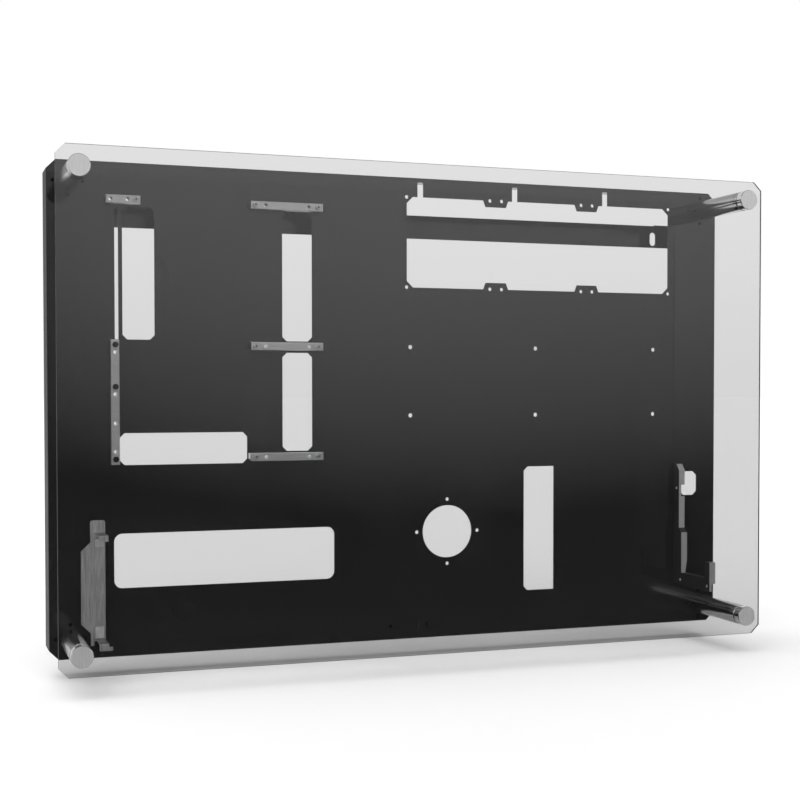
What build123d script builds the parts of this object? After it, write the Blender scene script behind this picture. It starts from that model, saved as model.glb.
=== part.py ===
from build123d import *
import os
from math import sqrt

# Wall-mounted open computer case: a folded back plate with cut-outs, four
# turned stand-offs that carry a clear front panel, bars for the main board,
# brackets for the graphics card and the power supply, and a wall rail.
# Millimetres. +X is to the right, +Z is up, and the open front faces -Y.
# The origin is the middle of the footprint, at the height of the lower edge.

# back plate
plate_width = 820.0
plate_height = 540.0
plate_corner = 10.0
plate_sheet = 2.0
flange_depth = 40.0
plate_edge_round = 1.2
cutout_corner = 5.0

# stand-offs and the clear front panel
standoff_inset = 22.5
standoff_diameter = 23.0
standoff_length = 102.0
standoff_rim = 0.6
standoff_thread = 8.0
panel_thickness = 4.0
panel_corner = 10.0
cap_height = 9.5
cap_rim = 0.6
cap_stud_reach = 12.0
thread_clearance = 0.1
panel_hole_clearance = 0.5

# bases behind the plate that carry the stand-offs
base_gap = 1.5
base_corner = 8.0
base_thickness = 5.0
base_pin_circle = 31.1
base_pin_diameter = 4.0
base_pin_clearance = 0.1
base_spigot_reach = 12.0

# radiator opening for three fans in a row
fan_pitch = 120.0
fan_hole_spacing = 105.0
fan_count = 3
fan_hole_diameter = 4.3
radiator_inset = 67.1
radiator_hole_drop = 22.5
radiator_open_height = 105.5
radiator_corner = 7.5
tab_depth = 7.8
tab_root_width = 31.6
tab_tip_width = 25.6
tube_slot_width = 7.5
tube_slot_height = 17.0
tube_slot_offset = 17.0
tube_slot_round = 1.0

# two rows of three holes for a reservoir or drives
grid_inset = 87.6
grid_drop = 197.5
grid_pitch = 160.0
grid_columns = 3
grid_row_pitch = 80.0
grid_hole_diameter = 5.0

# round opening for a pump, with its four screw holes
pump_inset = 361.5
pump_z = 125.0
pump_diameter = 62.0
pump_hole_circle = 76.3
pump_hole_diameter = 4.3

# openings near the lower edge
riser_inset = 69.7
riser_bottom = 75.0
riser_width = 250.0
riser_height = 60.0
riser_round = 9.0
supply_slot_inset = 263.0
supply_slot_width = 40.0
lead_inset = 49.2
lead_bottom = 160.0
lead_width = 24.0
lead_height = 30.0

# small port with its blank at the middle of the lower edge
port_width = 24.0
port_height = 10.0
port_z = 15.0
port_round = 1.5
port_cover_width = 56.0
port_cover_height = 18.0
port_cover_sheet = 1.5
port_screw_spacing = 45.0
port_screw_rise = 1.0
port_screw_diameter = 4.0

# main board pattern, set out on the usual hole spacings
board_inset = 70.7
board_drop = 41.0
board_step_one = 154.94
board_step_two = 72.39
board_rise_top = 157.48
board_drop_small = 45.72
board_drop_full = 124.46
board_corner_step = 22.86

# bars that carry the main board
bar_width = 9.0
bar_depth = 10.0
bar_edge = 0.4
bar_overhang_left = 5.0
bar_overhang_right = 6.0
lowest_bar_extra = 1.8
corner_bar_left_overhang = 9.0
corner_bar_right_overhang = 5.2
side_bar_top_overhang = 5.4
side_bar_bottom_overhang = 6.1
lowest_bar_corner = 2.5
bar_hole_diameter = 4.2
bar_hole_inset_left = 12.1
bar_hole_inset_right = 10.6
corner_bar_hole_left = 4.4
corner_bar_hole_right = 14.1
side_bar_hole_one = 8.3
side_bar_hole_two = 53.8
side_bar_hole_three = 85.4
side_bar_hole_four = 116.5

# threaded posts on the bars
post_width = 5.0
side_post_width = 5.8
post_rise = 3.5
post_shank = 4.0
post_bore = 2.5
post_bore_depth = 8.0

# cable openings round the main board
cable_width = 35.0
cable_above_bar = 6.0
cable_below_bar = 7.0
cable_below_top_bar = 6.0
left_cable_inset = 80.0
middle_cable_step = 33.1
low_cable_inset = 76.5
low_cable_width = 141.5
narrow_slot_inset = 71.7
narrow_slot_width = 4.1

# graphics card bracket
card_sheet = 1.5
card_inset = 59.7
card_width = 15.8
card_bottom = 14.0
card_height = 136.7
card_wing_reach = 10.1
card_wing_slope = 9.9
card_wing_drop = 23.6
card_wing_rise = 13.8
card_round = 2.6
card_leg_width = 3.6
card_notch_drop = 4.0
arm_inset = 48.2
arm_width = 9.8
arm_reach = 46.0
arm_drop = 12.7
arm_spacing = 115.1
arm_upper_lip = 6.4
arm_lower_lip = 7.6
lip_tab_width = 3.9
lip_tab_height = 4.2
ramp_depth = 8.0
ramp_upper_drop = 18.4
ramp_upper_rise = 11.4
ramp_lower_rise = 14.7

# power supply bracket
supply_sheet = 2.0
supply_flange = 8.0
supply_inset = 57.9
supply_bottom = 50.0
supply_height = 150.0
supply_top_depth = 7.0
supply_upper_depth = 13.5
supply_lower_depth = 19.9
supply_reach = 87.3
supply_slope_drop = 7.6
supply_joggle_drop = 79.5
supply_joggle_height = 5.3
supply_arm_height = 15.0
supply_end_height = 35.0
supply_end_width = 12.0
supply_flange_left = 3.2
supply_notch_drop = 25.8
supply_notch_height = 14.5
supply_end_notch = 9.0
supply_taper_rise = 15.2
supply_taper_width = 5.4
supply_foot_width = 12.0
supply_foot_drop = 44.0
supply_hole_diameter = 4.2
supply_hole_edge = 6.0
supply_stand_off = 1.5
supply_hole_rise = 114.0
supply_hole_step = 10.0
supply_hole_reach = 64.0
supply_screw_ends = 16.0

# wall rail behind the plate
rail_sheet = 2.0
rail_drop = 66.7
rail_height = 28.6
rail_lip = 7.7
rail_lip_inset = 66.0
rail_slot_inset = 68.2
rail_slot_width = 8.5
rail_slot_length = 16.8
rail_slot_rise = 10.9
rail_tab_depth = 26.0
rail_bend = 3.0

# screws
screw_diameter = 3.0
screw_hole_clearance = 0.2
screw_head_width = 5.5
screw_head_height = 2.0
screw_socket = 2.0
screw_socket_depth = 1.1

# places that follow from the sizes above
front_stack = standoff_length + panel_thickness + cap_height
plate_y = (front_stack - flange_depth) / 2
plate_back_y = plate_y + plate_sheet
wall_y = plate_y + flange_depth
panel_back_y = plate_y - standoff_length
panel_front_y = panel_back_y - panel_thickness
half_width = plate_width / 2
standoff_x = half_width - standoff_inset
standoff_top_z = plate_height - standoff_inset
standoff_places = {
    "top_left": (-standoff_x, standoff_top_z),
    "top_right": (standoff_x, standoff_top_z),
    "bottom_left": (-standoff_x, standoff_inset),
    "bottom_right": (standoff_x, standoff_inset),
}
fan_row_length = (fan_count - 1) * fan_pitch + fan_hole_spacing
radiator_left = half_width - radiator_inset - fan_row_length
radiator_middle_x = radiator_left + fan_row_length / 2
radiator_hole_top = plate_height - radiator_hole_drop
radiator_middle_z = radiator_hole_top - fan_hole_spacing / 2
grid_right = half_width - grid_inset
grid_top = plate_height - grid_drop
pump_x = half_width - pump_inset
riser_left = -half_width + riser_inset
supply_slot_left = half_width - supply_slot_inset
lead_left = half_width - lead_inset
board_column_one = -half_width + board_inset
board_column_two = board_column_one + board_step_one
board_column_three = board_column_two + board_step_two
board_row_top = plate_height - board_drop
board_row_two = board_row_top - board_rise_top
board_row_small = board_row_two - board_drop_small
board_row_low = board_row_two - board_drop_full
left_cable_left = -half_width + left_cable_inset
middle_cable_left = board_column_two + middle_cable_step
upper_cable_top = board_row_top - cable_below_top_bar
upper_cable_bottom = board_row_two + cable_above_bar
lower_cable_top = board_row_two - cable_below_bar
lower_cable_bottom = board_row_low + cable_above_bar
low_cable_left = -half_width + low_cable_inset
low_cable_bottom = board_row_low - cable_below_bar
narrow_slot_left = -half_width + narrow_slot_inset
card_right = -half_width + card_inset
card_top = card_bottom + card_height
arm_left = -half_width + arm_inset
arm_upper_z = card_top - arm_drop
arm_lower_z = arm_upper_z - arm_spacing
supply_face_x = half_width - supply_inset
supply_top = supply_bottom + supply_height
supply_foot_top = supply_top - supply_foot_drop
rail_bottom = plate_height - rail_drop
rail_slot_x = half_width - rail_slot_inset
rail_lip_half_length = half_width - rail_lip_inset
rail_slot_z = rail_bottom + rail_slot_rise
face_margin = 0.01


def front_plane(y):
    """A drawing plane that faces the front, with its local y along +Z."""
    return Plane(origin=(0, y, 0), x_dir=(1, 0, 0), z_dir=(0, -1, 0))


def slab(sketch, front_y, thickness):
    """A flat piece whose front face lies at front_y."""
    return extrude(front_plane(front_y) * sketch, amount=-thickness)


def side_plane(x):
    """A drawing plane for side sections, in depth and height."""
    return Plane(origin=(x, 0, 0), x_dir=(0, 1, 0), z_dir=(1, 0, 0))


def turned(outline, x, z, y):
    """Revolve an outline of (radius, reach) about a line along Y.

    Reach counts from y towards the front.
    """
    profile = Plane.XY * Polygon(*outline, align=None)
    body = revolve(profile, axis=Axis.Y)
    return Pos(x, y, z) * Rot(0, 0, 180) * body


def rod(x, z, rear_y, front_y, diameter):
    """A round bar or a round cutter along Y."""
    return slab(Pos(x, z) * Circle(diameter / 2), front_y, rear_y - front_y)


def hexagon(x, z, across_flats):
    """A hexagon of the given width across its flats."""
    return Pos(x, z) * RegularPolygon(across_flats / sqrt(3), 6)


def hex_socket(x, z, mouth_y, depth, across_flats):
    """The cutter for a hexagon socket in the front end of a screw."""
    return slab(hexagon(x, z, across_flats), mouth_y, depth)


def window(left, bottom, width, height, corner):
    """A rectangular cut-out with its corners cut off at 45 degrees."""
    frame = Rectangle(width, height)
    if corner > 0:
        frame = chamfer(frame.vertices(), corner)
    return Pos(left + width / 2, bottom + height / 2) * frame


def fan_holes():
    """Centres of the screw holes of the fans, by column and row."""
    places = []
    for fan in range(fan_count):
        for side in (0, fan_hole_spacing):
            x = radiator_left + fan * fan_pitch + side
            for z in (radiator_hole_top, radiator_hole_top - fan_hole_spacing):
                places.append((x, z))
    return places


def grid_holes():
    """Centres of the two rows of three holes."""
    places = []
    for column in range(grid_columns):
        for row in (0, 1):
            x = grid_right - column * grid_pitch
            places.append((x, grid_top - row * grid_row_pitch))
    return places


def pump_holes():
    """Centres of the four holes round the pump opening."""
    reach = pump_hole_circle / 2
    steps = ((reach, 0), (0, reach), (-reach, 0), (0, -reach))
    return [(pump_x + dx, pump_z + dz) for dx, dz in steps]


def base_pin_places(x, z):
    """Centres of the four pins in a cross round a stand-off."""
    reach = base_pin_circle / 2
    steps = ((reach, 0), (0, reach), (-reach, 0), (0, -reach))
    return [(x + dx, z + dz) for dx, dz in steps]


def radiator_sketch():
    """Opening with cut corners, screw tabs between the fans and tube slots."""
    opening = Rectangle(fan_row_length, radiator_open_height)
    opening = chamfer(opening.vertices(), radiator_corner)
    half_height = radiator_open_height / 2
    seam = (fan_hole_spacing + fan_pitch) / 2
    for fan in range(fan_count - 1):
        x = -fan_row_length / 2 + seam + fan * fan_pitch
        for side in (1, -1):
            root = side * half_height
            tip = side * (half_height - tab_depth)
            tab = Polygon(
                (x - tab_root_width / 2, root),
                (x + tab_root_width / 2, root),
                (x + tab_tip_width / 2, tip),
                (x - tab_tip_width / 2, tip),
                align=None,
            )
            opening -= tab
    for fan in range(fan_count):
        x = -fan_row_length / 2 + tube_slot_offset + fan * fan_pitch
        overlap = 2 * tube_slot_round
        height = tube_slot_height + overlap
        slot = RectangleRounded(tube_slot_width, height, tube_slot_round)
        opening += Pos(x, half_height + height / 2 - overlap) * slot
    return Pos(radiator_middle_x, radiator_middle_z) * opening


def cable_windows():
    """All plain cut-outs of the plate."""
    upper = upper_cable_top - upper_cable_bottom
    lower = lower_cable_top - lower_cable_bottom
    cut = cutout_corner
    windows = window(left_cable_left, upper_cable_bottom, cable_width, upper, cut)
    windows += window(middle_cable_left, upper_cable_bottom, cable_width, upper, cut)
    windows += window(middle_cable_left, lower_cable_bottom, cable_width, lower, cut)
    windows += window(low_cable_left, low_cable_bottom, low_cable_width, cable_width, cut)
    windows += window(lead_left, lead_bottom, lead_width, lead_height, cut)
    narrow_mid = (upper_cable_top + upper_cable_bottom) / 2
    narrow = RectangleRounded(narrow_slot_width, upper, narrow_slot_width / 4)
    windows += Pos(narrow_slot_left + narrow_slot_width / 2, narrow_mid) * narrow
    riser = RectangleRounded(riser_width, riser_height, riser_round)
    windows += Pos(riser_left + riser_width / 2, riser_bottom + riser_height / 2) * riser
    tall = Rectangle(supply_slot_width, supply_height)
    left_corners = tall.vertices().sort_by(Axis.X)[:2]
    tall = chamfer(left_corners, cut)
    slot_x = supply_slot_left + supply_slot_width / 2
    windows += Pos(slot_x, supply_bottom + supply_height / 2) * tall
    return windows


def board_posts():
    """Centres of the bright posts on the bars."""
    places = [(board_column_one + board_corner_step, board_row_top)]
    for z in (board_row_top, board_row_two, board_row_low):
        for x in (board_column_two, board_column_three):
            places.append((x, z))
    return places


def side_posts():
    """Centres of the dark posts on the side bar."""
    rows = (board_row_two, board_row_small, board_row_low)
    return [(board_column_one, z) for z in rows]


def open_bar_holes():
    """Centres of the plain holes through each bar, by bar name."""
    pair = (
        board_column_two + bar_hole_inset_left,
        board_column_three - bar_hole_inset_right,
    )
    corner = (
        board_column_one - corner_bar_hole_left,
        board_column_one + corner_bar_hole_right,
    )
    drops = (side_bar_hole_one, side_bar_hole_two, side_bar_hole_three, side_bar_hole_four)
    return {
        "board_bar_corner": [(x, board_row_top) for x in corner],
        "board_bar_side": [(board_column_one, board_row_two - drop) for drop in drops],
        "board_bar_top": [(x, board_row_top) for x in pair],
        "board_bar_middle": [(x, board_row_two) for x in pair],
        "board_bar_bottom": [(x, board_row_low) for x in pair],
    }


def port_screws():
    """Centres of the two screws of the port blank."""
    z = port_z + port_screw_rise
    return [(-port_screw_spacing / 2, z), (port_screw_spacing / 2, z)]


def supply_screws():
    """Heights of the screws in the foot of the power supply bracket."""
    return [supply_bottom + supply_screw_ends, supply_foot_top - supply_screw_ends]


def supply_foot_x():
    """Middle of the foot of the power supply bracket."""
    return supply_face_x + (supply_foot_width + supply_sheet) / 2


def plate_holes():
    """Centre and diameter of every round hole in the plate."""
    fans = [(x, z, fan_hole_diameter) for x, z in fan_holes()]
    grid = [(x, z, grid_hole_diameter) for x, z in grid_holes()]
    pump = [(x, z, pump_hole_diameter) for x, z in pump_holes()]
    pump.append((pump_x, pump_z, pump_diameter))
    bars = []
    for places in open_bar_holes().values():
        bars += [(x, z, bar_hole_diameter) for x, z in places]
    shank = post_shank + 2 * thread_clearance
    posts = [(x, z, shank) for x, z in board_posts() + side_posts()]
    spigot = standoff_thread + 2 * panel_hole_clearance
    pin = base_pin_diameter + 2 * base_pin_clearance
    bases = []
    for x, z in standoff_places.values():
        bases.append((x, z, spigot))
        bases += [(px, pz, pin) for px, pz in base_pin_places(x, z)]
    tapped = port_screw_diameter + 2 * thread_clearance
    port = [(x, z, tapped) for x, z in port_screws()]
    plain = screw_diameter + 2 * screw_hole_clearance
    supply = [(supply_foot_x(), z, plain) for z in supply_screws()]
    return fans + grid + pump + bars + posts + bases + port + supply


def back_plate():
    """One folded sheet: a face, four flanges and every cut-out."""
    face = Rectangle(plate_width, plate_height)
    face = chamfer(face.vertices(), plate_corner)
    face = Pos(0, plate_height / 2) * face
    shell = slab(face, plate_y, plate_sheet)
    straight_height = plate_height - 2 * plate_corner
    straight_width = plate_width - 2 * plate_corner
    side = Rectangle(plate_sheet, straight_height)
    rim = Rectangle(straight_width, plate_sheet)
    for sign in (1, -1):
        x = sign * (half_width - plate_sheet / 2)
        shell += slab(Pos(x, plate_height / 2) * side, plate_y, flange_depth)
        z = plate_height / 2 + sign * (plate_height - plate_sheet) / 2
        shell += slab(Pos(0, z) * rim, plate_y, flange_depth)
    front_edges = shell.edges().filter_by_position(
        Axis.Y, plate_y - face_margin, plate_y + face_margin
    )
    shell = fillet(front_edges, plate_edge_round)
    port = RectangleRounded(port_width, port_height, port_round)
    shell -= slab(radiator_sketch(), plate_y, plate_sheet)
    shell -= slab(cable_windows(), plate_y, plate_sheet)
    shell -= slab(Pos(0, port_z) * port, plate_y, plate_sheet)
    for x, z, diameter in plate_holes():
        shell -= rod(x, z, plate_back_y, plate_y, diameter)
    return shell


def port_screw(x, z):
    """A black screw without a head, flush with the plate."""
    length = plate_sheet + port_cover_sheet
    body = rod(x, z, plate_y + length, plate_y, port_screw_diameter)
    return body - hex_socket(x, z, plate_y, screw_socket_depth, screw_socket)


def supply_screw(x, z):
    """A hexagon-head screw behind the plate that reaches into the foot."""
    head_y = plate_back_y + screw_head_height
    body = rod(x, z, head_y, plate_y - supply_sheet, screw_diameter)
    return body + slab(hexagon(x, z, screw_head_width), plate_back_y, screw_head_height)


def wall_rail():
    """A rail with a leaning lip, screw slots and folded end tabs."""
    span = plate_width - 2 * plate_sheet
    front_y = wall_y - rail_sheet
    sheet = Rectangle(span, rail_height)
    body = slab(Pos(0, rail_bottom + rail_height / 2) * sheet, front_y, rail_sheet)
    lip_length = 2 * rail_lip_half_length
    lip_root = rail_bottom + rail_height - rail_lip
    above = Rectangle(lip_length, rail_lip)
    body -= slab(Pos(0, lip_root + rail_lip / 2) * above, front_y, rail_sheet)
    lean = rail_lip / sqrt(2)
    skin = rail_sheet / sqrt(2)
    turn_in = rail_sheet * (sqrt(2) - 1)
    lip_section = Polygon(
        (wall_y, lip_root - rail_sheet),
        (wall_y, lip_root + turn_in),
        (wall_y - lean, lip_root + turn_in + lean),
        (wall_y - lean - skin, lip_root + turn_in + lean - skin),
        (wall_y - rail_sheet, lip_root),
        (wall_y - rail_sheet, lip_root - rail_sheet),
        align=None,
    )
    lip = extrude(Plane.YZ * lip_section, amount=rail_lip_half_length, both=True)
    trim = Polygon(
        (rail_lip_half_length - lean, plate_height),
        (rail_lip_half_length + 1, plate_height),
        (rail_lip_half_length + 1, lip_root + turn_in),
        (rail_lip_half_length, lip_root + turn_in),
        (rail_lip_half_length - lean, lip_root + turn_in + lean),
        align=None,
    )
    for sign in (1, -1):
        corner = trim if sign > 0 else mirror(trim, about=Plane.YZ)
        lip -= slab(corner, front_y - 2 * lean, 4 * lean)
    body += lip
    tab_height = rail_height - rail_lip
    tab = Rectangle(rail_sheet, tab_height)
    for sign in (1, -1):
        x = sign * (span / 2 - rail_sheet / 2)
        place = Pos(x, rail_bottom + tab_height / 2)
        body += slab(place * tab, wall_y - rail_tab_depth, rail_tab_depth)
    bends = []
    for edge in body.edges().filter_by(Axis.Z):
        middle = edge.center()
        at_end = abs(abs(middle.X) - span / 2) < 0.01
        if at_end and abs(middle.Y - wall_y) < 0.01 and edge.length > rail_lip:
            bends.append(edge)
    body = fillet(bends, rail_bend)
    for sign in (1, -1):
        slot = Rot(0, 0, 90) * SlotOverall(rail_slot_length, rail_slot_width)
        place = Pos(sign * rail_slot_x, rail_slot_z)
        body -= slab(place * slot, front_y, rail_sheet)
    return body


def front_panel():
    """The clear panel, with cut corners and one hole for each cap."""
    outline = Rectangle(plate_width, plate_height)
    outline = chamfer(outline.vertices(), panel_corner)
    hole = Circle(standoff_thread / 2 + panel_hole_clearance)
    outline = Pos(0, plate_height / 2) * outline
    for x, z in standoff_places.values():
        outline -= Pos(x, z) * hole
    return slab(outline, panel_front_y, panel_thickness)


def standoff(x, z):
    """A turned tube, threaded at both ends, with a bevelled front rim."""
    radius = standoff_diameter / 2
    bore = standoff_thread / 2 + thread_clearance
    outline = (
        (bore, 0),
        (radius, 0),
        (radius, standoff_length - standoff_rim),
        (radius - standoff_rim, standoff_length),
        (bore, standoff_length),
    )
    return turned(outline, x, z, plate_y)


def cap(x, z):
    """A knob-like cap with a bevelled rim and a stud through the panel."""
    radius = standoff_diameter / 2
    stud = standoff_thread / 2
    outline = (
        (0, -panel_thickness - cap_stud_reach),
        (stud, -panel_thickness - cap_stud_reach),
        (stud, 0),
        (radius, 0),
        (radius, cap_height - cap_rim),
        (radius - cap_rim, cap_height),
        (0, cap_height),
    )
    return turned(outline, x, z, panel_front_y)


def standoff_base(x, z):
    """A pad behind the plate, with a spigot for the stand-off and four pins."""
    width = 2 * (standoff_inset - plate_sheet - base_gap)
    pad = chamfer(Rectangle(width, width).vertices(), base_corner)
    pad_back_y = plate_back_y + base_thickness
    body = slab(Pos(x, z) * pad, plate_back_y, base_thickness)
    body += rod(x, z, pad_back_y, plate_y - base_spigot_reach, standoff_thread)
    for px, pz in base_pin_places(x, z):
        body += rod(px, pz, pad_back_y, plate_y, base_pin_diameter)
    return body


def board_bar(name):
    """A square bar on the plate, with its plain holes and post seats."""
    half = bar_width / 2
    left = board_column_two - bar_overhang_left
    right = board_column_three + bar_overhang_right
    rows = {
        "board_bar_top": (left, right, board_row_top),
        "board_bar_middle": (left, right, board_row_two),
        "board_bar_bottom": (left - lowest_bar_extra, right, board_row_low),
    }
    if name == "board_bar_corner":
        left = board_column_one - corner_bar_left_overhang
        right = board_column_one + board_corner_step + corner_bar_right_overhang
        rows[name] = (left, right, board_row_top)
    if name == "board_bar_side":
        top = board_row_two + side_bar_top_overhang
        bottom = board_row_low - side_bar_bottom_overhang
        centre = Pos(board_column_one, (top + bottom) / 2)
        outline = centre * Rectangle(bar_width, top - bottom)
    else:
        left, right, row = rows[name]
        outline = Pos((left + right) / 2, row) * Rectangle(right - left, bar_width)
    if name == "board_bar_bottom":
        lowest = outline.vertices().sort_by(Axis.X)[:2].sort_by(Axis.Y)[0]
        outline = chamfer(lowest, lowest_bar_corner)
    front_y = plate_y - bar_depth
    body = slab(outline, front_y, bar_depth)
    face_edges = body.edges().filter_by_position(
        Axis.Y, front_y - face_margin, front_y + face_margin
    )
    body = chamfer(face_edges, bar_edge)
    for x, z in open_bar_holes()[name]:
        body -= rod(x, z, plate_y, front_y, bar_hole_diameter)
    shank = post_shank + 2 * thread_clearance
    for x, z in board_posts() + side_posts():
        body -= rod(x, z, plate_y, front_y, shank)
    return body


def board_post(x, z, width):
    """A hexagon post on a bar, screwed through the bar into the plate."""
    seat_y = plate_y - bar_depth
    front_y = seat_y - post_rise
    body = slab(hexagon(x, z, width), front_y, post_rise)
    body += rod(x, z, plate_back_y, seat_y - post_rise / 2, post_shank)
    return body - rod(x, z, front_y + post_bore_depth, front_y, post_bore)


def card_outline():
    """The flat back of the graphics card bracket."""
    left = card_right - card_width
    wing = left - card_wing_reach
    shoulder_top = card_top - card_wing_drop
    shoulder_low = card_bottom + card_wing_rise
    notch_z = arm_lower_z - card_notch_drop
    leg_right = left + card_leg_width
    outline = Polygon(
        (left, card_top),
        (card_right, card_top),
        (card_right, notch_z),
        (leg_right, notch_z),
        (leg_right, card_bottom),
        (left, card_bottom),
        (left, shoulder_low),
        (wing, shoulder_low + card_wing_slope),
        (wing, shoulder_top - card_wing_slope),
        (left, shoulder_top),
        align=None,
    )
    top_corners = outline.vertices().sort_by(Axis.Y)[-2:]
    return fillet(top_corners, card_round)


def card_bracket():
    """A folded bracket: a flat back, two arms with lips and a tongue."""
    front_y = plate_y - card_sheet
    body = slab(card_outline(), front_y, card_sheet)
    tongue_z = arm_upper_z - ramp_upper_drop
    ramp_z = arm_lower_z + ramp_lower_rise
    middle_x = arm_left + arm_width / 2
    for low, high in ((tongue_z, arm_upper_z), (arm_lower_z - card_notch_drop, ramp_z)):
        slot = Rectangle(arm_width, high - low)
        body -= slab(Pos(middle_x, (low + high) / 2) * slot, front_y, card_sheet)
    for section in (upper_arm_section(), tongue_section(), lower_arm_section()):
        body += extrude(side_plane(arm_left) * section, amount=arm_width)
    tab_width = arm_width + lip_tab_width
    tab_z = arm_lower_z - arm_lower_lip + lip_tab_height / 2
    tab = Pos(arm_left + tab_width / 2, tab_z) * Rectangle(tab_width, lip_tab_height)
    return body + slab(tab, plate_y - arm_reach, card_sheet)


def upper_arm_section():
    """Side section of the upper arm and its lip, in depth and height."""
    tip = plate_y - arm_reach
    return Polygon(
        (plate_y, arm_upper_z),
        (tip, arm_upper_z),
        (tip, arm_upper_z - arm_upper_lip),
        (tip + card_sheet, arm_upper_z - arm_upper_lip),
        (tip + card_sheet, arm_upper_z - card_sheet),
        (plate_y, arm_upper_z - card_sheet),
        align=None,
    )


def lower_arm_section():
    """Side section of the lower arm, with its ramp and its lip."""
    tip = plate_y - arm_reach
    ramp_z = arm_lower_z + ramp_lower_rise
    return Polygon(
        (plate_y, ramp_z),
        (plate_y - card_sheet, ramp_z),
        (plate_y - ramp_depth - card_sheet, arm_lower_z),
        (tip, arm_lower_z),
        (tip, arm_lower_z - arm_lower_lip),
        (tip + card_sheet, arm_lower_z - arm_lower_lip),
        (tip + card_sheet, arm_lower_z - card_sheet),
        (plate_y - ramp_depth, arm_lower_z - card_sheet),
        align=None,
    )


def tongue_section():
    """Side section of the tongue under the upper arm."""
    root_z = arm_upper_z - ramp_upper_drop
    return Polygon(
        (plate_y, root_z),
        (plate_y - ramp_depth, root_z + ramp_upper_rise),
        (plate_y - ramp_depth - card_sheet, root_z + ramp_upper_rise),
        (plate_y - card_sheet, root_z),
        align=None,
    )


def supply_outline():
    """Side outline of the power supply bracket, in depth and height."""
    joggle_top = supply_top - supply_joggle_drop
    arm_top = supply_bottom + supply_arm_height
    end_y = plate_y - supply_reach
    end_top = supply_bottom + supply_end_height
    return Polygon(
        (plate_y, supply_bottom),
        (plate_y, supply_top),
        (plate_y - supply_top_depth, supply_top),
        (plate_y - supply_upper_depth, supply_top - supply_slope_drop),
        (plate_y - supply_upper_depth, joggle_top),
        (plate_y - supply_lower_depth, joggle_top - supply_joggle_height),
        (plate_y - supply_lower_depth, arm_top),
        (end_y + supply_end_width, arm_top),
        (end_y + supply_end_width, end_top),
        (end_y, end_top),
        (end_y, supply_bottom),
        align=None,
    )


def supply_holes():
    """Depth and height of the three screw holes for a power supply."""
    near = plate_y - supply_stand_off - supply_hole_edge
    low = supply_bottom + supply_hole_edge
    return [
        (near, low + supply_hole_rise),
        (near - supply_hole_step, low),
        (near - supply_hole_step - supply_hole_reach, low),
    ]


def supply_ribbon():
    """Section of the flange that follows the front edges of the web."""
    whole = supply_outline()
    ribbon = whole - offset(whole, amount=-supply_sheet, kind=Kind.INTERSECTION)
    margin = 2 * supply_sheet
    middle_z = supply_bottom + supply_height / 2
    behind = Pos(plate_y, middle_z) * Rectangle(margin, supply_height + margin)
    under_width = supply_reach - supply_sheet
    under_y = plate_y - under_width / 2
    under = Pos(under_y, supply_bottom) * Rectangle(under_width, margin)
    ridge_y = plate_y - supply_top_depth / 2
    ridge = Pos(ridge_y, supply_top) * Rectangle(supply_top_depth, margin)
    return ribbon - behind - under - ridge


def supply_foot():
    """The foot of the power supply bracket, flat on the plate."""
    height = supply_foot_top - supply_bottom
    place = Pos(supply_face_x + supply_foot_width / 2, supply_bottom + height / 2)
    front_y = plate_y - supply_sheet
    foot = slab(place * Rectangle(supply_foot_width, height), front_y, supply_sheet)
    tapped = screw_diameter + 2 * thread_clearance
    for z in supply_screws():
        foot -= rod(supply_foot_x(), z, plate_y, front_y, tapped)
    return foot


def supply_bracket():
    """A folded bracket: a web, a foot and a flange along its front edges."""
    outline = supply_outline()
    for y, z in supply_holes():
        outline -= Pos(y, z) * Circle(supply_hole_diameter / 2)
    plane = side_plane(supply_face_x)
    body = extrude(plane * outline, amount=supply_sheet)
    flange = extrude(plane * supply_ribbon(), amount=supply_flange)
    cut_width = supply_flange - supply_flange_left
    cut_x = supply_face_x + supply_flange_left + cut_width / 2
    front_y = plate_y - supply_reach
    notch = Rectangle(cut_width, supply_notch_height)
    notch_z = supply_top - supply_notch_drop - supply_notch_height / 2
    flange -= slab(Pos(cut_x, notch_z) * notch, front_y, supply_reach)
    end_notch = Rectangle(cut_width, supply_end_notch)
    end_z = supply_bottom + supply_end_notch / 2
    flange -= slab(Pos(cut_x, end_z) * end_notch, front_y, supply_reach)
    arm_top = supply_bottom + supply_arm_height
    taper = Polygon(
        (supply_face_x + supply_flange, arm_top + supply_taper_rise),
        (supply_face_x + supply_taper_width, arm_top - supply_sheet),
        (supply_face_x + supply_flange, arm_top - supply_sheet),
        align=None,
    )
    flange -= slab(taper, plate_y - supply_lower_depth, supply_sheet)
    return body + flange + supply_foot()


def port_cover():
    """The blank behind the small port."""
    sheet = RectangleRounded(port_cover_width, port_cover_height, 2 * port_round)
    sheet = Pos(0, port_z) * sheet
    for x, z in port_screws():
        sheet -= Pos(x, z) * Circle(port_screw_diameter / 2 + thread_clearance)
    return slab(sheet, plate_back_y, port_cover_sheet)


def save(name, shape):
    """Write one node."""
    shape.label = name
    export_step(shape, f"parts/{name}.step")


def group(shapes):
    """Several separate solids that share one node."""
    return Compound(children=list(shapes))


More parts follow.
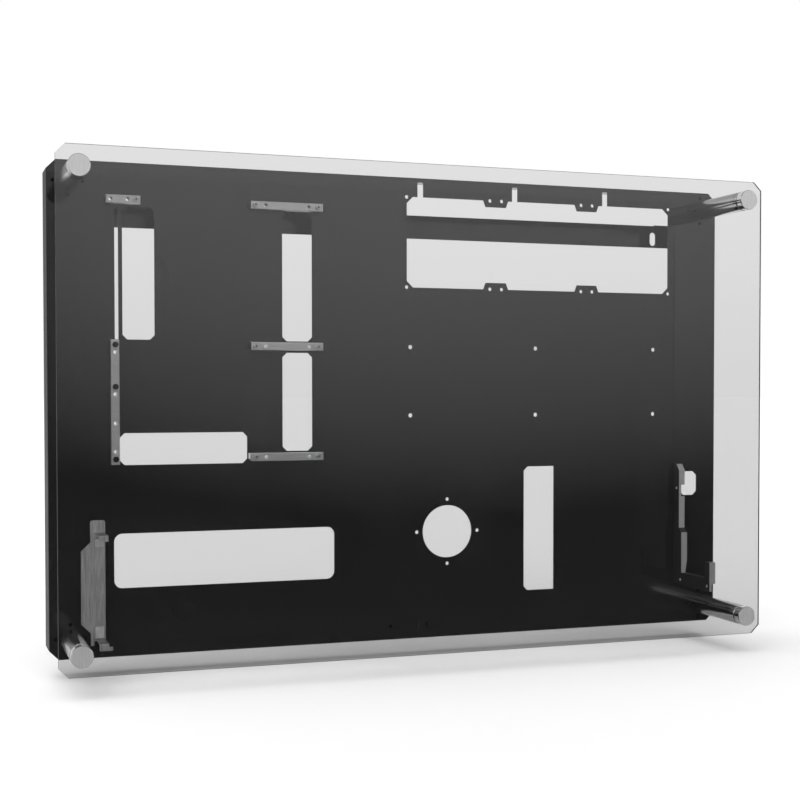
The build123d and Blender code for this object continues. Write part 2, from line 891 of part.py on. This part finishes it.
def main():
    os.makedirs("parts", exist_ok=True)
    save("back_plate", back_plate())
    save("front_panel", front_panel())
    for name, (x, z) in standoff_places.items():
        save(f"standoff_{name}", standoff(x, z))
        save(f"standoff_cap_{name}", cap(x, z))
        save(f"standoff_base_{name}", standoff_base(x, z))
    for name in open_bar_holes():
        save(name, board_bar(name))
    save("board_posts", group(board_post(x, z, post_width) for x, z in board_posts()))
    save("board_posts_side", group(board_post(x, z, side_post_width) for x, z in side_posts()))
    save("graphics_card_bracket", card_bracket())
    save("power_supply_bracket", supply_bracket())
    foot_x = supply_foot_x()
    save("power_supply_bracket_screws", group(supply_screw(foot_x, z) for z in supply_screws()))
    save("port_cover", port_cover())
    save("port_cover_screws", group(port_screw(x, z) for x, z in port_screws()))
    save("wall_rail", wall_rail())


main()
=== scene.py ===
import math

import bpy
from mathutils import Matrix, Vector


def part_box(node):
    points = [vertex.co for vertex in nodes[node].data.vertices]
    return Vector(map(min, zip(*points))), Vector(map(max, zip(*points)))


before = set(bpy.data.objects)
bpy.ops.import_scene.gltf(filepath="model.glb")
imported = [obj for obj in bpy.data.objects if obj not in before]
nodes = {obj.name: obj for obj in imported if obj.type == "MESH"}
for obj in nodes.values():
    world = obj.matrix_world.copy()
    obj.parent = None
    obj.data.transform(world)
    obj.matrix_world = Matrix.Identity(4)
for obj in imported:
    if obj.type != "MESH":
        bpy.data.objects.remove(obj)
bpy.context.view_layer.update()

# Lengths are in metres, colours and levels are linear light with 1 as white.

# The camera, fitted to the photograph. Its distance is from the front of the back plate.
IMAGE_SIZE = 800
CAMERA_X = -0.54797
CAMERA_TO_PLATE = 1.59291
CAMERA_Z = 0.2915
CAMERA_YAW = math.radians(20.012)
CAMERA_PITCH = math.radians(-1.527)
CAMERA_REACH = 60.0
FOCAL_PIXELS = 1436.91
CENTRE_PIXEL = (433.995, 429.015)
SENSOR = 36.0

# The floor, and how pale it looks through the clear panel
FLOOR_SIZE = 120.0
FLOOR_HEIGHT = -0.022
FLOOR_LEVEL = 0.93
FLOOR_THROUGH = 0.79
# The room that the clear panel shows: its level at the horizon, and its gain up to a height
ROOM_LEVEL = 0.91
ROOM_GAIN = 0.06
ROOM_GAIN_HEIGHT = 0.15
# The light from all round, and what is added to it straight behind the object
AMBIENT_LEVEL = 0.05
AMBIENT_BEHIND = 1.2
# The lamp: strength, angular size in degrees, direction that it comes from
KEY_STRENGTH = 3.2
KEY_SIZE = 90.0
KEY_SOURCE = (-0.375, -0.375, 0.848)

# The studio in front, which the black plate mirrors: dark below a curved edge, pale above it.
# The stops are heights above that edge and their levels.
MIRROR_HEADING = math.radians(20)
MIRROR_AXIS = (math.sin(MIRROR_HEADING), -math.cos(MIRROR_HEADING), 0.0)
MIRROR_EDGE = 0.094
MIRROR_CURVE = 1.2
MIRROR_CURVE_LIMIT = 0.12
MIRROR_STOPS = (
    (0.0, 0.05), (0.018, 0.125), (0.067, 0.38), (0.13, 0.64), (0.185, 0.82),
    (0.233, 0.92), (0.3, 0.85), (0.42, 0.35), (1.0, 0.25),
)
# Pale boxes at its sides and below: where a ray's direction starts to see them and sees them whole
SIDE_BOX = (0.8, 0.93)
SIDE_BOX_LEVEL = 0.6
GROUND = (0.45, 0.7)
GROUND_LEVEL = 0.45
# The studio behind, which metal sees, from straight down (0) to straight up (1)
BEHIND_STOPS = ((0.0, 0.4), (0.5, 0.4), (0.56, 0.45), (0.65, 0.9), (0.78, 0.45), (1.0, 0.35))
# The Y of a ray's direction at which the studio behind starts and stops to blend into the front
STUDIO_BLEND = (0.1, -0.1)

# Surfaces: height of a bump and of a brush line, and how far roughness varies from its middle
BUMP_HEIGHT = 0.0001
BRUSH_HEIGHT = 0.00005
ROUGHNESS_BELOW = 0.05
ROUGHNESS_ABOVE = 0.08
# How directly a face has to look along an axis to count as facing it
FACING = 0.7
FACING_CAP = 0.9
FACING_UPWARD = 0.05

# The start of a CAD node's name and its material. The first that fits counts.
MATERIAL_OF = (
    ("front_panel", "acrylic"),
    ("standoff_cap", "cap"),
    ("standoff_base", "matt"),
    ("standoff", "turned"),
    ("board_bar", "bar"),
    ("board_posts_side", "screw"),
    ("board_posts", "post"),
    ("graphics_card_bracket", "bracket"),
    ("power_supply_bracket_screws", "post"),
    ("power_supply_bracket", "supply"),
    ("port_cover_screws", "screw"),
    ("", "paint"),
)


def grey(level, blue=0.0):
    """A grey with a little blue added."""
    return (level, level, level + blue)


def set_input(node, name, value):
    """Set one socket of a shader node."""
    node.inputs[name].default_value = value


class Tree:
    """A short way to build a node tree."""

    def __init__(self, owner):
        owner.use_nodes = True
        self.tree = owner.node_tree
        self.tree.nodes.clear()

    def add(self, kind, **settings):
        """Add a node and set its attributes."""
        node = self.tree.nodes.new(kind)
        for name, value in settings.items():
            setattr(node, name, value)
        return node

    def link(self, source, target):
        """Join an output socket to an input socket."""
        self.tree.links.new(source, target)

    def math(self, operation, first, second=None):
        """A maths node whose inputs are sockets or numbers."""
        node = self.add("ShaderNodeMath", operation=operation)
        for index, value in enumerate((first, second)):
            if value is None:
                continue
            if isinstance(value, (int, float)):
                node.inputs[index].default_value = value
            else:
                self.link(value, node.inputs[index])
        return node.outputs[0]

    def place(self, scale=(1.0, 1.0, 1.0)):
        """Coordinates on the object in metres, times a scale."""
        source = self.add("ShaderNodeTexCoord")
        mapping = self.add("ShaderNodeMapping")
        mapping.inputs["Scale"].default_value = scale
        self.link(source.outputs["Object"], mapping.inputs["Vector"])
        return mapping.outputs["Vector"]

    def split(self, vector):
        """The X, Y and Z of a vector."""
        node = self.add("ShaderNodeSeparateXYZ")
        self.link(vector, node.inputs[0])
        return node.outputs

    def noise(self, vector, scale, detail, roughness=0.5):
        """A noise value between 0 and 1."""
        node = self.add("ShaderNodeTexNoise")
        set_input(node, "Scale", scale)
        set_input(node, "Detail", detail)
        set_input(node, "Roughness", roughness)
        self.link(vector, node.inputs["Vector"])
        return node.outputs["Fac"]

    def streaks(self, per_metre, roughness=0.6):
        """Noise with its own number of cells per metre along each axis."""
        return self.noise(self.place(per_metre), scale=1.0, detail=3.0, roughness=roughness)

    def ramp(self, value, low, high):
        """Map a value of 0 to 1 onto a range."""
        node = self.add("ShaderNodeMapRange")
        set_input(node, "To Min", low)
        set_input(node, "To Max", high)
        self.link(value, node.inputs["Value"])
        return node.outputs["Result"]

    def smooth(self, value, start, end):
        """Rise smoothly from 0 at the start to 1 at the end."""
        node = self.add("ShaderNodeMapRange", interpolation_type="SMOOTHSTEP")
        set_input(node, "From Min", start)
        set_input(node, "From Max", end)
        self.link(value, node.inputs["Value"])
        return node.outputs["Result"]

    def facing(self, axis, sign, least=FACING):
        """1 where a surface of the object looks along an axis, 0 elsewhere."""
        normal = self.split(self.add("ShaderNodeTexCoord").outputs["Normal"])
        return self.math("GREATER_THAN", self.math("MULTIPLY", normal[axis], sign), least)

    def facing_both(self, axis):
        """1 where a surface looks along an axis in either direction, 0 elsewhere."""
        return self.math("MAXIMUM", self.facing(axis, -1.0), self.facing(axis, 1.0))

    def colours(self, value, dark, light):
        """Blend two colours by a value."""
        node = self.add("ShaderNodeMix", data_type="RGBA")
        self.link(value, node.inputs["Factor"])
        node.inputs["A"].default_value = (*dark, 1.0)
        node.inputs["B"].default_value = (*light, 1.0)
        return node.outputs["Result"]

    def levels(self, value, stops):
        """A grey level read from a table of stops."""
        node = self.add("ShaderNodeValToRGB")
        self.link(value, node.inputs["Fac"])
        elements = node.color_ramp.elements
        while len(elements) < len(stops):
            elements.new(0.5)
        for element, (position, level) in zip(elements, stops):
            element.position = position
            element.color = (*grey(level), 1.0)
        return node.outputs["Color"]

    def bump(self, height, strength, distance=BUMP_HEIGHT):
        """A bump from a height."""
        node = self.add("ShaderNodeBump")
        set_input(node, "Strength", strength)
        set_input(node, "Distance", distance)
        self.link(height, node.inputs["Height"])
        return node.outputs["Normal"]

    def rounded(self, radius):
        """A normal that makes edges look rounded."""
        node = self.add("ShaderNodeBevel")
        set_input(node, "Radius", radius)
        return node.outputs["Normal"]

    def surface(self, colour, roughness, normal=None, **constants):
        """A Principled shader. An underscore in a constant's name stands for a space."""
        shader = self.add("ShaderNodeBsdfPrincipled")
        self.link(colour, shader.inputs["Base Color"])
        self.link(roughness, shader.inputs["Roughness"])
        if normal is not None:
            self.link(normal, shader.inputs["Normal"])
        for name, value in constants.items():
            set_input(shader, name.replace("_", " "), value)
        return shader

    def plain(self, kind, level):
        """A shader with one grey colour."""
        shader = self.add(kind)
        set_input(shader, "Color", (*grey(level), 1.0))
        return shader

    def mix(self, share, first, second):
        """Blend two shaders by a share from 0 to 1."""
        mix = self.add("ShaderNodeMixShader")
        self.link(share, mix.inputs["Fac"])
        self.link(first.outputs[0], mix.inputs[1])
        self.link(second.outputs[0], mix.inputs[2])
        return mix

    def finish(self, shader, kind="ShaderNodeOutputMaterial"):
        """Link a shader to the output."""
        self.link(shader.outputs[0], self.add(kind).inputs["Surface"])


def new_material(name):
    """A material with an empty tree."""
    material = bpy.data.materials.new(name)
    return material, Tree(material)


def about(tree, value, middle):
    """A roughness that varies about its middle."""
    return tree.ramp(value, middle - ROUGHNESS_BELOW, middle + ROUGHNESS_ABOVE)


def black_paint():
    """Glossy black coat with a faint orange peel. Its side faces are duller and painted a lighter
    grey, a painted sheen that stands in for their grazing reflection.
    """
    material, tree = new_material("black_paint")
    place = tree.place()
    cloud = tree.noise(place, scale=9.0, detail=2.0)
    grain = tree.noise(place, scale=900.0, detail=2.0)
    gloss = tree.surface(
        tree.colours(cloud, dark=grey(0.011, blue=0.001), light=grey(0.015, blue=0.001)),
        tree.ramp(cloud, low=0.0, high=0.01),
        tree.bump(grain, strength=0.003),
        IOR=1.5,
    )
    # Side faces: rougher, and painted a lighter grey as a painted sheen for their grazing
    # reflection.
    dull_painted_sheen = tree.surface(
        tree.colours(grain, dark=grey(0.035, blue=0.002), light=grey(0.06, blue=0.002)),
        tree.ramp(cloud, low=0.5, high=0.6),
        tree.bump(grain, strength=0.1),
        Specular_IOR_Level=0.15,
    )
    tree.finish(tree.mix(tree.facing_both("X"), gloss, dull_painted_sheen))
    return material


def matt_black():
    """Blackened steel that hardly shines."""
    material, tree = new_material("matt_black")
    grain = tree.noise(tree.place(), scale=700.0, detail=3.0)
    shader = tree.surface(
        tree.colours(grain, dark=grey(0.002), light=grey(0.006)),
        tree.ramp(grain, low=0.5, high=0.65),
        tree.bump(grain, strength=0.1),
        Specular_IOR_Level=0.1,
    )
    tree.finish(shader)
    return material


def bracket_coat():
    """Black sheet whose faces towards the viewer are bare brushed steel with soft edges."""
    material, tree = new_material("bracket_coat")
    lines = tree.streaks((700.0, 700.0, 40.0))
    steel = tree.surface(
        tree.colours(lines, dark=grey(0.66, blue=0.01), light=grey(0.86, blue=0.01)),
        tree.ramp(lines, low=0.45, high=0.6),
        tree.rounded(radius=0.0008),
        Metallic=1.0,
    )
    black = tree.surface(
        tree.colours(lines, dark=grey(0.018, blue=0.001), light=grey(0.028, blue=0.001)),
        tree.ramp(lines, low=0.3, high=0.4),
        Specular_IOR_Level=0.3,
    )
    tree.finish(tree.mix(tree.facing("Y", -1.0), black, steel))
    return material


def polished(name, dark, light, roughness, per_metre, strength):
    """Polished metal with fine streaks."""
    material, tree = new_material(name)
    streaks = tree.streaks(per_metre)
    shader = tree.surface(
        tree.colours(streaks, dark, light),
        about(tree, streaks, roughness),
        tree.bump(streaks, strength),
        Metallic=1.0,
    )
    tree.finish(shader)
    return material


def brushed(name, dark, light, roughness, per_metre, strength, edge=0.0, upward_painted_shade=1.0):
    """Metal with straight brush lines, and edges that look rounded where an edge radius is given.

    Faces that look upwards, even a little, have their colour scaled by the upward share: painted
    shade that stands in for the dark studio they mirror.
    """
    material, tree = new_material(name)
    lines = tree.smooth(tree.streaks(per_metre), start=0.3, end=0.7)
    # Painted shade: the colour of upward-looking faces is scaled down, standing in for the dark
    # studio they mirror.
    scaled = tree.add("ShaderNodeVectorMath", operation="SCALE")
    tree.link(tree.colours(lines, dark, light), scaled.inputs[0])
    share = tree.ramp(tree.facing("Z", 1.0, FACING_UPWARD), low=1.0, high=upward_painted_shade)
    tree.link(share, scaled.inputs["Scale"])
    bump = tree.bump(lines, strength, BRUSH_HEIGHT)
    if edge:
        tree.link(tree.rounded(edge), bump.node.inputs["Normal"])
    shader = tree.surface(
        scaled.outputs["Vector"], about(tree, lines, roughness), bump, Metallic=1.0
    )
    tree.finish(shader)
    return material


def cap_steel():
    """A cap with a brushed face, and a polished side and chamfer."""
    material, tree = new_material("cap_steel")
    lines = tree.streaks((1000.0, 60.0, 60.0))
    face = tree.surface(
        tree.colours(lines, dark=grey(0.7), light=grey(0.98)),
        tree.ramp(lines, low=0.34, high=0.46),
        tree.bump(lines, strength=0.25),
        Metallic=0.77,
    )
    turned = tree.streaks((60.0, 2500.0, 60.0))
    side = tree.surface(
        tree.colours(turned, dark=grey(0.6), light=grey(0.8)),
        tree.ramp(turned, low=0.12, high=0.2),
        Metallic=1.0,
    )
    tree.finish(tree.mix(tree.facing("Y", -1.0, FACING_CAP), side, face))
    return material


def clear_acrylic():
    """Clear sheet, a little grey. Its edges are an opaque dark grey, painted shade that stands in
    for the dark surroundings a polished edge shows. It lets most of the lamp through.
    """
    material, tree = new_material("clear_acrylic")
    clear = tree.add("ShaderNodeBsdfPrincipled")
    set_input(clear, "Base Color", (*grey(0.765), 1.0))
    set_input(clear, "Roughness", 0.0)
    set_input(clear, "IOR", 1.49)
    set_input(clear, "Transmission Weight", 1.0)
    # The edges: painted shade, a dark grey with streaks, for the dark surroundings a polished edge
    # would show.
    edge_streaks = tree.streaks((900.0, 60.0, 900.0), roughness=0.5)
    edge = tree.surface(
        tree.colours(edge_streaks, dark=(0.02, 0.021, 0.021), light=(0.055, 0.057, 0.057)),
        tree.ramp(edge_streaks, low=0.4, high=0.6),
        Specular_IOR_Level=0.2,
    )
    sheet = tree.mix(tree.facing_both("Y"), edge, clear)
    shadow = tree.plain("ShaderNodeBsdfTransparent", 0.78)
    path = tree.add("ShaderNodeLightPath").outputs
    tree.finish(tree.mix(path["Is Shadow Ray"], sheet, shadow))
    return material


def dress(materials):
    """Give every CAD node its material."""
    for name, node in nodes.items():
        chosen = next(key for start, key in MATERIAL_OF if name.startswith(start))
        node.data.materials.clear()
        node.data.materials.append(materials[chosen])


def build_floor():
    """A white floor that keeps the soft shadow.

    In front of the plate, glossy rays pass through it to the studio. So do the rays that
    leave through the clear panel, which see a dimmer floor behind it.
    """
    half = FLOOR_SIZE / 2
    mesh = bpy.data.meshes.new("floor")
    corners = ((-half, -half), (half, -half), (half, half), (-half, half))
    mesh.from_pydata([(x, y, FLOOR_HEIGHT) for x, y in corners], [], [(0, 1, 2, 3)])
    floor = bpy.data.objects.new("floor", mesh)
    bpy.context.scene.collection.objects.link(floor)
    material, tree = new_material("floor")
    depth = tree.split(tree.place())["Y"]
    behind_panel = tree.math("GREATER_THAN", depth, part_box("front_panel")[0].y)
    behind_plate = tree.math("GREATER_THAN", depth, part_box("back_plate")[0].y)
    white = tree.plain("ShaderNodeBsdfDiffuse", FLOOR_LEVEL)
    dimmer = tree.plain("ShaderNodeBsdfDiffuse", FLOOR_THROUGH)
    nothing = tree.plain("ShaderNodeBsdfTransparent", 1.0)
    path = tree.add("ShaderNodeLightPath").outputs
    mirrored = tree.mix(behind_plate, nothing, white)
    through = tree.mix(behind_panel, nothing, dimmer)
    shader = tree.mix(path["Is Glossy Ray"], white, mirrored)
    tree.finish(tree.mix(path["Is Transmission Ray"], shader, through))
    mesh.materials.append(material)


def front_studio(tree, ray):
    """The level of the studio in front, by the direction of a ray."""
    along = tree.add("ShaderNodeVectorMath", operation="DOT_PRODUCT")
    tree.link(ray, along.inputs[0])
    along.inputs[1].default_value = MIRROR_AXIS
    turn = tree.math("SUBTRACT", 1.0, along.outputs["Value"])
    bend = tree.math("MINIMUM", turn, MIRROR_CURVE_LIMIT)
    axes = tree.split(ray)
    rise = tree.math("ADD", axes["Z"], MIRROR_EDGE)
    above_edge = tree.math("SUBTRACT", rise, tree.math("MULTIPLY", bend, MIRROR_CURVE))
    level = tree.levels(above_edge, MIRROR_STOPS)
    sideways = tree.smooth(tree.math("ABSOLUTE", axes["X"]), *SIDE_BOX)
    level = tree.math("MAXIMUM", level, tree.math("MULTIPLY", sideways, SIDE_BOX_LEVEL))
    downwards = tree.smooth(tree.math("MULTIPLY", axes["Z"], -1.0), *GROUND)
    return tree.math("MAXIMUM", level, tree.math("MULTIPLY", downwards, GROUND_LEVEL))


def background(tree, colour=None, strength=None):
    """A background shader, white unless it is given a colour."""
    shader = tree.plain("ShaderNodeBackground", 1.0)
    if colour is not None:
        tree.link(colour, shader.inputs["Color"])
    if strength is not None:
        tree.link(strength, shader.inputs["Strength"])
    return shader


def build_world():
    """White to the camera, a grey room to the clear panel, a studio to all that mirrors it."""
    world = bpy.data.worlds.new("studio")
    bpy.context.scene.world = world
    tree = Tree(world)
    ray = tree.add("ShaderNodeTexCoord").outputs["Generated"]
    axes = tree.split(ray)
    front = background(tree, colour=front_studio(tree, ray))
    from_below = tree.math("MULTIPLY", tree.math("ADD", axes["Z"], 1.0), 0.5)
    back = background(tree, colour=tree.levels(from_below, BEHIND_STOPS))
    backwards = tree.math("MULTIPLY", tree.math("MAXIMUM", axes["Y"], 0.0), AMBIENT_BEHIND)
    ambient = background(tree, strength=tree.math("ADD", backwards, AMBIENT_LEVEL))
    gain = tree.math("MULTIPLY", tree.smooth(axes["Z"], 0.0, ROOM_GAIN_HEIGHT), ROOM_GAIN)
    room = background(tree, strength=tree.math("ADD", gain, ROOM_LEVEL))
    path = tree.add("ShaderNodeLightPath").outputs
    to_viewer = tree.smooth(axes["Y"], *STUDIO_BLEND)
    mirrored = tree.mix(to_viewer, back, front)
    bounced = tree.math("GREATER_THAN", path["Glossy Depth"], 0.5)
    through = tree.mix(tree.math("MULTIPLY", to_viewer, bounced), room, front)
    shader = tree.mix(path["Is Glossy Ray"], ambient, mirrored)
    shader = tree.mix(path["Is Transmission Ray"], shader, through)
    shader = tree.mix(path["Is Camera Ray"], shader, background(tree))
    tree.finish(shader, "ShaderNodeOutputWorld")


def build_lamp():
    """A very broad light from above, in front and to the left. Metal doesn't mirror it."""
    data = bpy.data.lights.new("key_light", "SUN")
    data.energy = KEY_STRENGTH
    data.angle = math.radians(KEY_SIZE)
    lamp = bpy.data.objects.new("key_light", data)
    lamp.rotation_euler = Vector(KEY_SOURCE).to_track_quat("Z", "Y").to_euler()
    lamp.visible_glossy = False
    bpy.context.scene.collection.objects.link(lamp)


def build_camera():
    """The photograph's camera, with its off-centre frame."""
    data = bpy.data.cameras.new("camera")
    data.sensor_width = SENSOR
    data.lens = SENSOR * FOCAL_PIXELS / IMAGE_SIZE
    data.shift_x = -(CENTRE_PIXEL[0] - IMAGE_SIZE / 2) / IMAGE_SIZE
    data.shift_y = (CENTRE_PIXEL[1] - IMAGE_SIZE / 2) / IMAGE_SIZE
    data.clip_end = CAMERA_REACH
    camera = bpy.data.objects.new("camera", data)
    plate_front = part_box("back_plate")[0].y
    camera.location = (CAMERA_X, plate_front - CAMERA_TO_PLATE, CAMERA_Z)
    camera.rotation_euler = (math.pi / 2 + CAMERA_PITCH, 0.0, -CAMERA_YAW)
    bpy.context.scene.collection.objects.link(camera)
    bpy.context.scene.camera = camera


materials = {
    "paint": black_paint(),
    "matt": matt_black(),
    "supply": bracket_coat(),
    "acrylic": clear_acrylic(),
    "cap": cap_steel(),
    "turned": polished(
        "turned_steel", dark=grey(0.45), light=grey(0.68), roughness=0.17,
        per_metre=(450.0, 30.0, 450.0), strength=0.08,
    ),
    "post": polished(
        "post_steel", dark=grey(0.7), light=grey(0.8), roughness=0.3,
        per_metre=(300.0, 300.0, 300.0), strength=0.1,
    ),
    "bar": brushed(
        "bar_aluminium", dark=grey(0.79, blue=0.01), light=grey(0.91, blue=0.01), roughness=0.36,
        per_metre=(60.0, 60.0, 900.0), strength=0.1, edge=0.001,
    ),
    "screw": brushed(
        "black_screw", dark=grey(0.02), light=grey(0.03), roughness=0.35,
        per_metre=(300.0, 300.0, 300.0), strength=0.02,
    ),
    # The bracket's upward faces get painted shade: their colour is scaled to 0.42.
    "bracket": brushed(
        "bracket_steel", dark=grey(0.64), light=grey(1.0), roughness=0.42,
        per_metre=(900.0, 900.0, 45.0), strength=0.5, edge=0.0006, upward_painted_shade=0.42,
    ),
}
dress(materials)
build_floor()
build_world()
build_lamp()
build_camera()
bpy.context.scene.view_settings.view_transform = "Standard"
